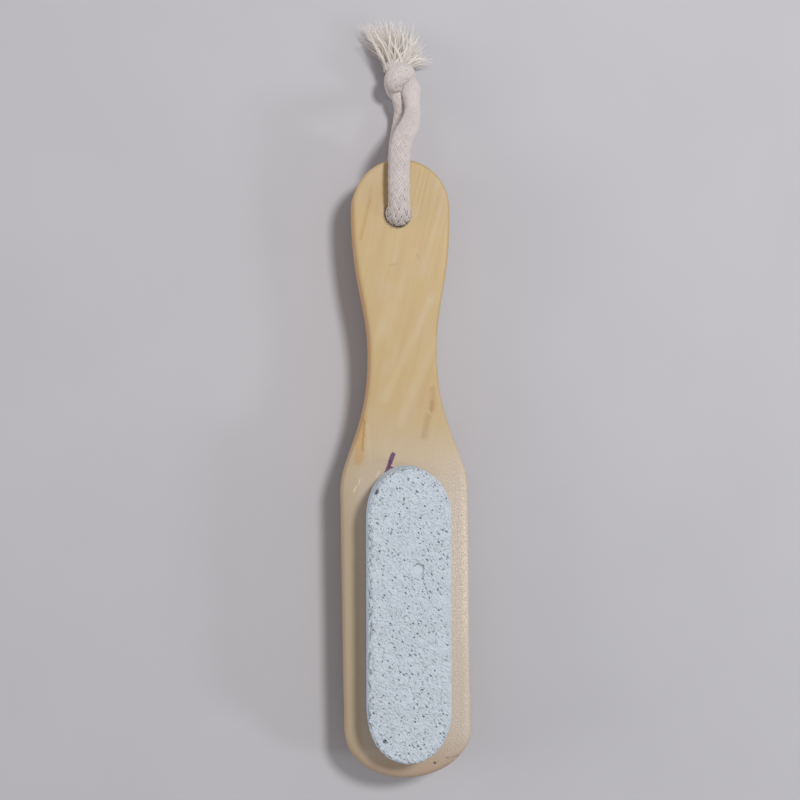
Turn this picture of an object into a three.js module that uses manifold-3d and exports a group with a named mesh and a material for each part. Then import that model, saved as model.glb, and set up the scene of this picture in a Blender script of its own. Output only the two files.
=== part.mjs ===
// Two-sided foot brush: a waisted wooden paddle with a pumice block glued on its upper face,
// four rows of bristle tufts set in its underside, and a knotted cotton cord through the
// hole in its handle.
// Frame: millimetres, +Z up. The brush stands on its bristle tips, at z = 0, with the
// pumice up. +Y runs along the handle to the cord, and the origin is under the middle of
// the paddle.

import * as THREE from "three";
import { mergeVertices } from "three/addons/utils/BufferGeometryUtils.js";
import Module from "manifold-3d";

const wasm = await Module();
wasm.setup();

// Driving dimensions of the paddle.
const WOOD_LENGTH = 230;
const WOOD_THICKNESS = 12.5;
const EDGE_ROUND = 2.5;
const HEAD_WIDTH = 47.5;
const HEAD_LENGTH = 107;
const TIP_DEPTH = 17.5;
const NECK_WIDTH = 25;
const NECK_FROM_END = 72;
const END_WIDTH = 36;
const END_DEPTH = 18;
// How far each bend of the waist runs straight before it turns.
const SHOULDER_EASE = 13;
const NECK_EASE_TO_HEAD = 28;
const NECK_EASE_TO_END = 20;
const END_EASE = 30;

// The cord, and the hole that it is threaded through.
const CORD_DIAMETER = 7.6;
const CORD_HOLE_CLEARANCE = 0.8;
const HOLE_FROM_END = 20.5;
const HOLE_OFF_CENTRE = -1.3;
const HOLE_RIM = 1;
const CORD_REST_GAP = 0.4;
const CORD_FLOOR_GAP = 0.7;

// The pumice block and the adhesive under it.
const STONE_LENGTH = 107.5;
const STONE_WIDTH = 30.8;
const STONE_HEIGHT = 13.5;
const STONE_END_DEPTH = 18.6;
const STONE_EDGE = 1.2;
const STONE_FROM_TIP = 9.8;
const STONE_OFF_CENTRE = -0.7;
const STONE_TURN_DEGREES = -0.8;
const ADHESIVE_THICKNESS = 0.5;
const ADHESIVE_INSET = 2;

// The bristles. Each row is a slice of the head's underside with its tufts.
const BRISTLE_LENGTH = 10;
const BRISTLE_TRIM = 0.5;
const ROW_COUNT = 4;
const TUFTS_IN_INNER_ROW = 14;
const INNER_ROW_LENGTH = 98.8;
const INNER_ROW_FROM_TIP = 12.6;
const TUFT_RADIUS = 1.25;
const STRANDS_ROUND_TUFT = 7;
const STRAND_RADIUS = 0.42;
const STRAND_FLARE_DEGREES = 4.5;
const SLICE_WIDTH = 5.8;
const SLICE_THICKNESS = 2.5;
const SLICE_MARGIN = 3;
const SLOT_CLEARANCE = 0.3;
const SLOT_WALL = 1.6;
const STRAND_ROOT_DEPTH = 0.8;

// The knot and the frayed ends beyond it.
const KNOT_FROM_END = 30.4;
const KNOT_OFF_CENTRE = 2.6;
const KNOT_LENGTH = 15.5;
const KNOT_CORE_WIDTH = 11;
const KNOT_CORE_LENGTH = 22;
const KNOT_WRAP_RADIUS = 4;
const KNOT_WRAP_THICKNESS = 3.3;
const KNOT_WRAP_SPACING = 5;
const KNOT_WRAP_LEAN_DEGREES = 26;
const UPPER_LEG_OFF_KNOT = 3.3;
const UPPER_LEG_RISE = 3.5;
const LOWER_LEG_OFF_KNOT = -0.3;
const FACING_GAP = 0.3;
const FRAY_OFF_KNOT = -2.2;
const FRAY_LENGTH = 18;
const FRAY_SPREAD_DEGREES = 60;
const FRAY_LIFT_DEGREES = 11;
const FRAY_LOCKS_ACROSS = 9;
const FRAY_LOCK_RADIUS = 1.5;
const FRAY_TIP_RADIUS = 0.45;
const FRAY_STUB_RADIUS = 4.4;
const FRAY_STUB_LENGTH = 4;
const FRAY_OUTER_LAYER_SHARE = 0.85;
const FRAY_SIDE_SHORTENING = 0.25;
const FRAY_UNEVENNESS = 0.08;

// Fineness of the curved faces.
const OUTLINE_STEPS = 12;
const EDGE_STEPS = 3;
const HOLE_SIDES = 24;
const CORD_SIDES = 6;
const CORD_STEPS = 60;
const KNOT_SIDES = 18;
const WRAP_SIDES = 9;
const LOCK_SIDES = 5;
const STRAND_SIDES = 3;

// Heights and places that follow from the sizes above.
const woodBottom = BRISTLE_LENGTH;
const woodTop = woodBottom + WOOD_THICKNESS;
const endY = WOOD_LENGTH / 2;
const tipY = -WOOD_LENGTH / 2;
const rowPitch = SLICE_WIDTH + 2 * SLOT_CLEARANCE + SLOT_WALL;
const tuftPitch = INNER_ROW_LENGTH / (TUFTS_IN_INNER_ROW - 1);
const holeX = HOLE_OFF_CENTRE;
const holeY = endY - HOLE_FROM_END;
const holeRadius = (CORD_DIAMETER + 2 * CORD_HOLE_CLEARANCE) / 2;
const knotX = KNOT_OFF_CENTRE;
const knotY = endY + KNOT_FROM_END;
const knotHalfWidth = KNOT_WRAP_RADIUS + KNOT_WRAP_THICKNESS;
const knotZ = knotHalfWidth + CORD_FLOOR_GAP;
const knotFrontY = knotY - KNOT_LENGTH / 2;
const knotBackY = knotY + KNOT_LENGTH / 2;

const degrees = Math.PI / 180;
const finish = (color, roughness) => new THREE.MeshStandardMaterial({ color, roughness, metalness: 0 });
const woodFinish = finish(0xd8b878, 0.5);
const stoneFinish = finish(0xc6d2dc, 0.95);
const adhesiveFinish = finish(0xd9cfa8, 0.6);
const bristleFinish = finish(0xe9dfc6, 0.7);
const cordFinish = finish(0xe2dad2, 0.95);

// A closed geometry as a solid that can be joined and cut.
function solid(geometry) {
  const bare = geometry.index ? geometry.toNonIndexed() : geometry.clone();
  bare.deleteAttribute("normal");
  bare.deleteAttribute("uv");
  const merged = mergeVertices(bare, 1e-4);
  return new wasm.Manifold(
    new wasm.Mesh({
      numProp: 3,
      vertProperties: merged.attributes.position.array,
      triVerts: new Uint32Array(merged.index.array),
    }),
  );
}

// A solid as a geometry again.
function geometryOf(body) {
  const { vertProperties, triVerts } = body.getMesh();
  const geometry = new THREE.BufferGeometry();
  geometry.setAttribute("position", new THREE.BufferAttribute(vertProperties, 3));
  geometry.setIndex(new THREE.BufferAttribute(triVerts, 1));
  geometry.computeVertexNormals();
  return geometry;
}

const joined = (bodies) => bodies.reduce((whole, body) => whole.add(body));

function piece(name, geometry, material) {
  const mesh = new THREE.Mesh(geometry, material);
  mesh.name = name;
  return mesh;
}

// An outline pulled up from z = 0, with both rims rounded by the given radius.
function slab(outline, thickness, round) {
  const geometry = new THREE.ExtrudeGeometry(outline, {
    depth: thickness - 2 * round,
    curveSegments: OUTLINE_STEPS,
    bevelEnabled: round > 0,
    bevelThickness: round,
    bevelSize: round,
    bevelOffset: -round,
    bevelSegments: EDGE_STEPS,
  });
  return geometry.translate(0, 0, round);
}

// A long shape with straight sides and elliptical ends, centred on the origin along Y.
function roundEndedOutline(width, length, endDepth) {
  const half = width / 2;
  const straight = length / 2 - endDepth;
  const outline = new THREE.Shape();
  outline.moveTo(half, -straight);
  outline.lineTo(half, straight);
  outline.absellipse(0, straight, half, endDepth, 0, Math.PI);
  outline.lineTo(-half, -straight);
  outline.absellipse(0, -straight, half, endDepth, Math.PI, 2 * Math.PI);
  return outline;
}

// The paddle's outline: elliptical tip, straight head, drawn-in neck and round handle end.
function paddleOutline() {
  const head = HEAD_WIDTH / 2;
  const neck = NECK_WIDTH / 2;
  const end = END_WIDTH / 2;
  const tipEllipseY = tipY + TIP_DEPTH;
  const shoulderY = tipY + HEAD_LENGTH;
  const neckY = endY - NECK_FROM_END;
  const endEllipseY = endY - END_DEPTH;
  const outline = new THREE.Shape();
  outline.moveTo(head, tipEllipseY);
  outline.lineTo(head, shoulderY);
  outline.bezierCurveTo(head, shoulderY + SHOULDER_EASE, neck, neckY - NECK_EASE_TO_HEAD, neck, neckY);
  outline.bezierCurveTo(neck, neckY + NECK_EASE_TO_END, end, endEllipseY - END_EASE, end, endEllipseY);
  outline.absellipse(0, endEllipseY, end, END_DEPTH, 0, Math.PI);
  outline.bezierCurveTo(-end, endEllipseY - END_EASE, -neck, neckY + NECK_EASE_TO_END, -neck, neckY);
  outline.bezierCurveTo(-neck, neckY - NECK_EASE_TO_HEAD, -head, shoulderY + SHOULDER_EASE, -head, shoulderY);
  outline.lineTo(-head, tipEllipseY);
  outline.absellipse(0, tipEllipseY, head, TIP_DEPTH, Math.PI, 2 * Math.PI);
  return outline;
}

// Where a row of tufts runs. Rows beside the middle are full, and the outer ones hold one
// tuft fewer, so that they stand in the gaps of their neighbours.
function bristleRow(index) {
  const fromMiddle = index - (ROW_COUNT - 1) / 2;
  const isInner = Math.abs(fromMiddle) < 1;
  const tufts = TUFTS_IN_INNER_ROW - (isInner ? 0 : 1);
  const middleY = tipY + INNER_ROW_FROM_TIP + INNER_ROW_LENGTH / 2;
  return {
    x: fromMiddle * rowPitch,
    middleY,
    tufts,
    firstY: middleY - ((tufts - 1) / 2) * tuftPitch,
    sliceLength: (tufts - 1) * tuftPitch + 2 * SLICE_MARGIN,
  };
}

const bristleRows = Array.from({ length: ROW_COUNT }, (_, index) => bristleRow(index));

function rowSlice(row, clearance, thickness) {
  const width = SLICE_WIDTH + 2 * clearance;
  const outline = roundEndedOutline(width, row.sliceLength + 2 * clearance, width / 2);
  return slab(outline, thickness, 0).translate(row.x, row.middleY, woodBottom);
}

// The paddle, with the cord hole, its rims eased, and a slot for each bristle row.
function woodHandle() {
  const body = solid(slab(paddleOutline(), WOOD_THICKNESS, EDGE_ROUND).translate(0, 0, woodBottom));
  const mouth = holeRadius + 2 * HOLE_RIM;
  const drillProfile = [
    [0, -HOLE_RIM],
    [mouth, -HOLE_RIM],
    [holeRadius, HOLE_RIM],
    [holeRadius, WOOD_THICKNESS - HOLE_RIM],
    [mouth, WOOD_THICKNESS + HOLE_RIM],
    [0, WOOD_THICKNESS + HOLE_RIM],
  ].map((corner) => new THREE.Vector2(...corner));
  const drill = new THREE.LatheGeometry(drillProfile, HOLE_SIDES);
  drill.rotateX(Math.PI / 2);
  drill.translate(holeX, holeY, woodBottom);
  const slots = bristleRows.map((row) => {
    const slot = rowSlice(row, SLOT_CLEARANCE, SLICE_THICKNESS + BRISTLE_LENGTH);
    return solid(slot.translate(0, 0, -BRISTLE_LENGTH));
  });
  return geometryOf(slots.reduce((whole, slot) => whole.subtract(slot), body.subtract(solid(drill))));
}

// One strand of a tuft, from inside its slice to past the trimming plane.
function strand(x, y, outward, flare) {
  const height = (BRISTLE_LENGTH + BRISTLE_TRIM + STRAND_ROOT_DEPTH) / Math.cos(flare);
  const geometry = new THREE.CylinderGeometry(STRAND_RADIUS, STRAND_RADIUS, height, STRAND_SIDES);
  geometry.rotateX(Math.PI / 2);
  geometry.translate(0, 0, -height / 2);
  geometry.rotateY(-flare);
  geometry.rotateZ(outward);
  return solid(geometry.translate(x, y, woodBottom + STRAND_ROOT_DEPTH));
}

// A tuft: one upright strand with a ring of strands leaning out round it.
function tuft(x, y) {
  const ring = Array.from({ length: STRANDS_ROUND_TUFT }, (_, index) => {
    const outward = (index / STRANDS_ROUND_TUFT) * 2 * Math.PI;
    const strandX = x + TUFT_RADIUS * Math.cos(outward);
    const strandY = y + TUFT_RADIUS * Math.sin(outward);
    return strand(strandX, strandY, outward, STRAND_FLARE_DEGREES * degrees);
  });
  return [strand(x, y, 0, 0), ...ring];
}

// A row of tufts on its slice of wood, with the tips trimmed level.
function bristleRowGeometry(row) {
  const strands = Array.from({ length: row.tufts }, (_, index) =>
    tuft(row.x, row.firstY + index * tuftPitch),
  ).flat();
  const rowBody = joined([solid(rowSlice(row, 0, SLICE_THICKNESS)), ...strands]);
  const trimDepth = 4 * BRISTLE_TRIM;
  const trimmer = new THREE.BoxGeometry(HEAD_WIDTH, 2 * WOOD_LENGTH, trimDepth);
  return geometryOf(rowBody.subtract(solid(trimmer.translate(row.x, 0, -trimDepth / 2))));
}

// The cord's centreline: out of the knot, down on to the handle, through the hole, and back
// under the handle to the knot.
function cordRoute() {
  const half = CORD_DIAMETER / 2;
  const upperZ = woodTop + CORD_REST_GAP + half;
  const lowerZ = woodBottom - CORD_REST_GAP - half;
  const upperLegX = knotX + UPPER_LEG_OFF_KNOT;
  const lowerLegX = knotX + LOWER_LEG_OFF_KNOT;
  const upperLegZ = knotZ + UPPER_LEG_RISE;
  const lowerLegZ = half + CORD_FLOOR_GAP;
  const startY = knotFrontY - FACING_GAP;
  return [
    [upperLegX, startY, upperLegZ],
    [upperLegX, startY - 2.5, upperLegZ + 0.7],
    [upperLegX - 1.5, startY - 7, upperLegZ + 4.2],
    [upperLegX - 3, startY - 11, upperLegZ + 8.1],
    [holeX + 2.5, endY + 8.2, upperZ - 4.7],
    [holeX + 0.9, endY + 3.6, upperZ - 1.5],
    [holeX + 0.3, endY - 1.5, upperZ - 0.2],
    [holeX, holeY + 13, upperZ],
    [holeX, holeY + 6.8, upperZ],
    [holeX, holeY + 4.2, upperZ - 0.5],
    [holeX, holeY + 2, upperZ - 2],
    [holeX, holeY + 0.5, upperZ - 4.2],
    [holeX, holeY, upperZ - 6.8],
    [holeX, holeY, (upperZ + lowerZ) / 2],
    [holeX, holeY, lowerZ + 6.8],
    [holeX, holeY + 0.5, lowerZ + 4.2],
    [holeX, holeY + 2, lowerZ + 2],
    [holeX, holeY + 4.2, lowerZ + 0.5],
    [holeX, holeY + 6.8, lowerZ],
    [holeX + 0.5, endY - 6, lowerZ],
    [holeX + 2.2, endY + 3, lowerZ - 0.1],
    [lowerLegX - 0.8, startY - 13, lowerLegZ + 0.6],
    [lowerLegX - 0.4, startY - 6, lowerLegZ],
    [lowerLegX, startY, lowerLegZ],
  ].map((place) => new THREE.Vector3(...place));
}

function hangCord() {
  const section = new THREE.Shape();
  section.absarc(0, 0, CORD_DIAMETER / 2, 0, 2 * Math.PI);
  return new THREE.ExtrudeGeometry(section, {
    extrudePath: new THREE.CatmullRomCurve3(cordRoute(), false, "centripetal"),
    steps: CORD_STEPS,
    curveSegments: CORD_SIDES,
    bevelEnabled: false,
  });
}

// The overhand knot: a rounded core with two wraps that cross over it, flat where the two
// legs of the cord go in and where the frayed ends come out.
function cordKnot() {
  const core = new THREE.SphereGeometry(1, KNOT_SIDES, KNOT_SIDES / 2);
  core.scale(KNOT_CORE_WIDTH / 2, KNOT_CORE_LENGTH / 2, KNOT_CORE_WIDTH / 2);
  const wraps = [-1, 1].map((side) => {
    const wrap = new THREE.TorusGeometry(KNOT_WRAP_RADIUS, KNOT_WRAP_THICKNESS, WRAP_SIDES, KNOT_SIDES);
    wrap.rotateX(Math.PI / 2);
    wrap.rotateZ(side * KNOT_WRAP_LEAN_DEGREES * degrees);
    return solid(wrap.translate(0, (side * KNOT_WRAP_SPACING) / 2, 0));
  });
  const bounds = new THREE.BoxGeometry(4 * knotHalfWidth, KNOT_LENGTH, 4 * knotHalfWidth);
  const knot = joined([solid(core), ...wraps]).intersect(solid(bounds));
  return geometryOf(knot).translate(knotX, knotY, knotZ);
}

// One lock of loosened yarn, from the root of the fray along its own direction.
function frayLock(across, lift, length) {
  const geometry = new THREE.CylinderGeometry(FRAY_TIP_RADIUS, FRAY_LOCK_RADIUS, length, LOCK_SIDES);
  geometry.translate(0, length / 2, 0);
  geometry.rotateX(lift);
  geometry.rotateZ(-across);
  return solid(geometry);
}

// The frayed ends: a short stub that opens into a fan of locks, in three layers.
function frayedEnds() {
  const stub = new THREE.CylinderGeometry(FRAY_STUB_RADIUS, FRAY_STUB_RADIUS, FRAY_STUB_LENGTH, KNOT_SIDES);
  stub.translate(0, FRAY_STUB_LENGTH / 2, 0);
  const locks = [];
  for (const layer of [-1, 0, 1]) {
    for (let index = 0; index < FRAY_LOCKS_ACROSS; index += 1) {
      const share = index / (FRAY_LOCKS_ACROSS - 1) - 0.5;
      const spread = FRAY_SPREAD_DEGREES * degrees * (layer === 0 ? 1 : FRAY_OUTER_LAYER_SHARE);
      const shorter = FRAY_SIDE_SHORTENING * Math.abs(share) + FRAY_UNEVENNESS * ((index + layer + 1) % 2);
      const across = 2 * share * spread;
      const length = FRAY_LENGTH * (1 - shorter);
      locks.push(frayLock(across, layer * FRAY_LIFT_DEGREES * degrees, length));
    }
  }
  const above = new THREE.BoxGeometry(4 * FRAY_LENGTH, 2 * FRAY_LENGTH, 4 * FRAY_LENGTH);
  const fan = joined([solid(stub), ...locks]).intersect(solid(above.translate(0, FRAY_LENGTH, 0)));
  return geometryOf(fan).translate(knotX + FRAY_OFF_KNOT, knotBackY + FACING_GAP, knotZ);
}

// The pumice and its adhesive, laid on the head a little out of line with it.
function stoneGroup() {
  const adhesiveOutline = roundEndedOutline(
    STONE_WIDTH - 2 * ADHESIVE_INSET,
    STONE_LENGTH - 2 * ADHESIVE_INSET,
    STONE_END_DEPTH - ADHESIVE_INSET,
  );
  const stoneOutline = roundEndedOutline(STONE_WIDTH, STONE_LENGTH, STONE_END_DEPTH);
  const stone = slab(stoneOutline, STONE_HEIGHT, STONE_EDGE).translate(0, 0, ADHESIVE_THICKNESS);
  const group = new THREE.Group();
  group.add(piece("adhesive_bed", slab(adhesiveOutline, ADHESIVE_THICKNESS, 0), adhesiveFinish));
  group.add(piece("pumice_stone", stone, stoneFinish));
  group.position.set(STONE_OFF_CENTRE, tipY + STONE_FROM_TIP + STONE_LENGTH / 2, woodTop);
  group.rotation.z = STONE_TURN_DEGREES * degrees;
  return group;
}

// The cord with its knot and frayed ends, which swings about the hole as one loop.
function hangLoop() {
  const group = new THREE.Group();
  group.add(piece("hang_cord", hangCord(), cordFinish));
  group.add(piece("cord_knot", cordKnot(), cordFinish));
  group.add(piece("frayed_ends", frayedEnds(), cordFinish));
  return group;
}

const footBrush = new THREE.Group();
footBrush.add(piece("wood_handle", woodHandle(), woodFinish));
bristleRows.forEach((row, index) => {
  footBrush.add(piece(`bristle_row_${index + 1}`, bristleRowGeometry(row), bristleFinish));
});
footBrush.add(stoneGroup());
footBrush.add(hangLoop());

export default footBrush;
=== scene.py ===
# Foot brush with a pumice block, bristles under its head and a knotted cotton cord.
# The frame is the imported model's own, in metres. +Y runs along the handle to the cord, +Z is
# up, and the brush stands on its bristle tips with the pumice on top.

import math

import bpy
from mathutils import Matrix, Vector, noise
from mathutils.geometry import interpolate_bezier


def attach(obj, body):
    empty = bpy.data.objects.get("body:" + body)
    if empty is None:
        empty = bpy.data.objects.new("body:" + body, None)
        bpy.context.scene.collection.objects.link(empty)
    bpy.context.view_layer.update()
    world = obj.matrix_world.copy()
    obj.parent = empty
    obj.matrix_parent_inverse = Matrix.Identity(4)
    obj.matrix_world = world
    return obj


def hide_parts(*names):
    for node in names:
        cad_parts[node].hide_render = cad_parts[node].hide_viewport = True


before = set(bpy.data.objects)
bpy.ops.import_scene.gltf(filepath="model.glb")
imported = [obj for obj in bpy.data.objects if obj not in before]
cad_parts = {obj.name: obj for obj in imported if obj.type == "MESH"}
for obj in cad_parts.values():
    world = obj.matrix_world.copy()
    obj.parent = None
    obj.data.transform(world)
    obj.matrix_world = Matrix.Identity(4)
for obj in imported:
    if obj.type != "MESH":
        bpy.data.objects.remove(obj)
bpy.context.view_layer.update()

MM = 0.001
PER_MM = 1000.0
FULL_TURN = 2 * math.pi


# Node trees in short.


def formula_step(operation):
    """A method of a value that adds one step of a formula."""
    return lambda value, *others: value.nodes.formula(operation, value, *others)


class Value:
    """What a node gives out. A formula of such values adds the nodes that work it out."""

    __add__ = formula_step("ADD")
    __sub__ = formula_step("SUBTRACT")
    __mul__ = formula_step("MULTIPLY")
    __truediv__ = formula_step("DIVIDE")
    __mod__ = formula_step("MODULO")
    __pow__ = formula_step("POWER")
    __lt__ = formula_step("LESS_THAN")
    __gt__ = formula_step("GREATER_THAN")
    __abs__ = formula_step("ABSOLUTE")
    at_least = formula_step("MAXIMUM")
    at_most = formula_step("MINIMUM")
    cos = formula_step("COSINE")
    sin = formula_step("SINE")
    root = formula_step("SQRT")

    def __init__(self, nodes, socket):
        self.nodes = nodes
        self.socket = socket
        self.is_vector = socket.type in ("VECTOR", "RGBA")

    def __rsub__(self, other):
        return self.nodes.math("SUBTRACT", other, self)

    def __rtruediv__(self, other):
        return self.nodes.math("DIVIDE", other, self)

    def __floordiv__(self, other):
        return self.nodes.math("FLOOR", self / other)


class Nodes:
    """One node tree, with short ways to add nodes and to join them."""

    def __init__(self, tree):
        self.tree = tree

    def join(self, value, socket):
        if isinstance(value, Value):
            self.tree.links.new(value.socket, socket)
        else:
            socket.default_value = value

    def add(self, kind, inputs=None, **settings):
        """A new node with its settings, and with its inputs by name or by number."""
        node = self.tree.nodes.new(kind)
        for name, value in settings.items():
            setattr(node, name, value)
        for name, value in (inputs or {}).items():
            self.join(value, node.inputs[name])
        return node

    def get(self, kind, inputs=None, output=0, **settings):
        """What one output of a new node gives."""
        return Value(self, self.add(kind, inputs, **settings).outputs[output])

    def get_all(self, kind, inputs=None, **settings):
        """What each output of a new node gives, in their order."""
        return [Value(self, socket) for socket in self.add(kind, inputs, **settings).outputs]

    def group(self, tree, inputs):
        """What each output of a shared group gives."""
        return self.get_all(tree.bl_idname.replace("Tree", "Group"), inputs, node_tree=tree)

    def math(self, operation, *values):
        return self.get("ShaderNodeMath", dict(enumerate(values)), operation=operation)

    def vector(self, operation, *values):
        output = "Value" if operation in ("DOT_PRODUCT", "DISTANCE") else "Vector"
        inputs = dict(enumerate(values))
        return self.get("ShaderNodeVectorMath", inputs, output, operation=operation)

    def formula(self, operation, first, *others):
        """One step of a formula, on numbers or on vectors."""
        if not first.is_vector:
            return self.math(operation, first, *others)
        (second,) = others
        if getattr(second, "is_vector", isinstance(second, tuple)):
            return self.vector(operation, first, second)
        inputs = {0: first, "Scale": second}
        return self.get("ShaderNodeVectorMath", inputs, "Vector", operation="SCALE")

    def parts(self, vector):
        return self.get_all("ShaderNodeSeparateXYZ", {"Vector": vector})

    def combined(self, x, y, z):
        return self.get("ShaderNodeCombineXYZ", {"X": x, "Y": y, "Z": z})

    def span(self, value, low, high, start=0.0, end=1.0):
        """value from low to high as a smooth step from start to end."""
        inputs = {"Value": value, "From Min": low, "From Max": high, "To Min": start, "To Max": end}
        return self.get("ShaderNodeMapRange", inputs, "Result", interpolation_type="SMOOTHSTEP")

    def tint(self, share, first, second):
        """Two colours mixed by a share."""
        return self.get("ShaderNodeMix", {0: share, 6: first, 7: second}, 2, data_type="RGBA")

    def noise(self, place, scale=1.0, detail=2.0, roughness=0.5, output="Fac"):
        inputs = {"Vector": place, "Scale": scale, "Detail": detail, "Roughness": roughness}
        return self.get("ShaderNodeTexNoise", inputs, output, noise_dimensions="3D")

    def random(self, low, high, key, seed):
        """One number for each key, always the same for the same seed."""
        inputs = {"ID": key, "Seed": seed, 2: low, 3: high}
        return self.get("FunctionNodeRandomValue", inputs, 1, data_type="FLOAT")

    def keep(self, geometry, name, value, form="FLOAT"):
        """The geometry with a value held at each of its points."""
        inputs = {"Geometry": geometry, "Name": name, "Value": value}
        return self.get(
            "GeometryNodeStoreNamedAttribute", inputs, data_type=form, domain="POINT"
        )

    def kept(self, name, form="FLOAT"):
        """A value that the geometry holds at each of its points."""
        inputs = {"Name": name}
        return self.get("GeometryNodeInputNamedAttribute", inputs, "Attribute", data_type=form)

    def placed(self, geometry, place, socket="Position"):
        """The geometry with its points in new places, or moved by an offset."""
        return self.get("GeometryNodeSetPosition", {"Geometry": geometry, socket: place})

    def copies(self, lines, amount):
        """Copies of a line, and the number of each."""
        inputs = {"Geometry": lines, "Amount": amount}
        return self.get_all("GeometryNodeDuplicateElements", inputs, domain="SPLINE")

    def straight_lines(self, end, points, amount):
        """Lines from the origin to one end, and the number of each."""
        line = self.get("GeometryNodeCurvePrimitiveLine", {"End": end})
        inputs = {"Curve": line, "Count": points}
        return self.copies(self.get("GeometryNodeResampleCurve", inputs, mode="COUNT"), amount)

    def tube(self, lines, section, scale=1.0):
        """Lines with a section drawn along them, closed at both ends."""
        inputs = {"Curve": lines, "Profile Curve": section, "Scale": scale, "Fill Caps": True}
        return self.get("GeometryNodeCurveToMesh", inputs)

    def joined(self, *pieces, kind="GeometryNodeJoinGeometry", socket=0, **settings):
        """Several pieces of geometry that go into one socket of a node."""
        node = self.add(kind, **settings)
        for piece in pieces:
            self.join(piece, node.inputs[socket])
        return Value(self, node.outputs[0])


SOCKET_FORMS = {int: "Int", float: "Float", Vector: "Vector"}


def forms_of(sizes):
    """The kind of socket that each named size needs."""
    return {name: SOCKET_FORMS[type(value)] for name, value in sizes.items()}


def new_tree(name, kind, inputs, outputs):
    """A node group with named sockets, as its nodes, what its inputs give, and its outputs."""
    tree = bpy.data.node_groups.new(name, kind)
    for way, sockets in (("INPUT", inputs), ("OUTPUT", outputs)):
        for socket, form in sockets.items():
            tree.interface.new_socket(socket, in_out=way, socket_type="NodeSocket" + form)
    nodes = Nodes(tree)
    entry = nodes.add("NodeGroupInput")
    given = {socket.name: Value(nodes, socket) for socket in entry.outputs}
    return nodes, given, nodes.add("NodeGroupOutput").inputs


def geometry_tree(name, sizes):
    inputs = {"Geometry": "Geometry", **forms_of(sizes), "Material": "Material"}
    return new_tree(name, "GeometryNodeTree", inputs, {"Geometry": "Geometry"})


def finish_tree(nodes, size, outputs, geometry):
    """Every tree ends in smooth, real geometry with its material."""
    soft = nodes.get("GeometryNodeSetShadeSmooth", {"Geometry": geometry})
    real = nodes.get("GeometryNodeRealizeInstances", {"Geometry": soft})
    inputs = {"Geometry": real, "Material": size["Material"]}
    nodes.join(nodes.get("GeometryNodeSetMaterial", inputs), outputs["Geometry"])
    return nodes.tree


def grown(name, tree, base, material, sizes, voxel=None):
    """The plain mesh object that a tree makes from a base mesh."""
    maker = bpy.data.objects.new(name + "_maker", base)
    bpy.context.scene.collection.objects.link(maker)
    if voxel:
        remesh = maker.modifiers.new("even faces", "REMESH")
        remesh.mode = "VOXEL"
        remesh.voxel_size = voxel
    modifier = maker.modifiers.new(tree.name, "NODES")
    modifier.node_group = tree
    given = {**sizes, "Material": material}
    for item in tree.interface.items_tree:
        if item.in_out == "INPUT" and item.name in given:
            modifier[item.identifier] = given[item.name]
    graph = bpy.context.evaluated_depsgraph_get()
    mesh = bpy.data.meshes.new_from_object(
        maker.evaluated_get(graph), preserve_all_data_layers=True, depsgraph=graph
    )
    mesh.name = name
    bpy.data.objects.remove(maker)
    piece = bpy.data.objects.new(name, mesh)
    bpy.context.scene.collection.objects.link(piece)
    return piece


def colour(red, green, blue):
    """A colour as it is seen, from 0 to 255, as the linear colour that a socket takes."""

    def linear(part):
        share = part / 255
        return share / 12.92 if share <= 0.04045 else ((share + 0.055) / 1.055) ** 2.4

    return (linear(red), linear(green), linear(blue), 1.0)


def new_material(name, **constants):
    """A material, its nodes and its shader's inputs, which have the plain numbers set on them."""
    made = bpy.data.materials.new(name)
    made.use_nodes = True
    shader = next(node for node in made.node_tree.nodes if node.type == "BSDF_PRINCIPLED")
    for socket, value in constants.items():
        shader.inputs[socket.replace("_", " ")].default_value = value
    return made, Nodes(made.node_tree), shader.inputs


def object_place(nodes):
    """Object coordinates in millimetres."""
    return nodes.get("ShaderNodeTexCoord", output="Object") * PER_MM


def held_value(nodes, name, output="Fac"):
    """What the mesh holds at each of its points under a name."""
    settings = {"attribute_name": name, "attribute_type": "GEOMETRY"}
    return nodes.get("ShaderNodeAttribute", output=output, **settings)


def bump(nodes, height, strength, distance):
    inputs = {"Height": height, "Strength": strength, "Distance": distance}
    return nodes.get("ShaderNodeBump", inputs)


# Camera, at the photograph's viewing angle.

CAMERA_PLACE = (-0.0498, 0.0356, 0.46265)
CAMERA_TURN = (-0.0196, -0.1093, -0.0153)
CAMERA_LENS = 54.0
CAMERA_SENSOR = 36.0


def add_camera():
    data = bpy.data.cameras.new("camera")
    data.lens = CAMERA_LENS
    data.sensor_width = CAMERA_SENSOR
    camera = bpy.data.objects.new("camera", data)
    camera.location = CAMERA_PLACE
    camera.rotation_euler = CAMERA_TURN
    bpy.context.scene.collection.objects.link(camera)
    bpy.context.scene.camera = camera


# Braided cotton cord, from the knot through the hole and back to the knot.

CORD_HOLE = (-1.3, 94.5, 16.25)
CORD_ROUTE = (
    (5.9, 137.35, 11.5), (5.9, 134.85, 12.2), (4.8, 130.35, 15.5), (3.1, 126.35, 19.4),
    (1.2, 123.2, 22.0), (-0.4, 118.6, 25.2), (-1.0, 113.5, 26.5), (-1.3, 107.5, 26.7),
    (-1.3, 101.3, 26.7), (-1.3, 98.7, 26.2), (-1.3, 96.2, 25.0), (-1.3, 94.7, 22.7),
    (-1.3, 94.4, 19.9), (-1.3, 94.5, 16.25), (-1.3, 94.5, 12.6), (-1.3, 95.0, 10.0),
    (-1.3, 96.5, 7.8), (-1.3, 98.7, 6.3), (-1.3, 101.3, 5.8), (-0.8, 109.0, 5.8),
    (0.9, 118.0, 5.7), (1.5, 124.35, 5.1), (2.3, 131.35, 4.9), (2.7, 137.35, 6.8),
)
ROUTE_STEPS = 8
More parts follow.
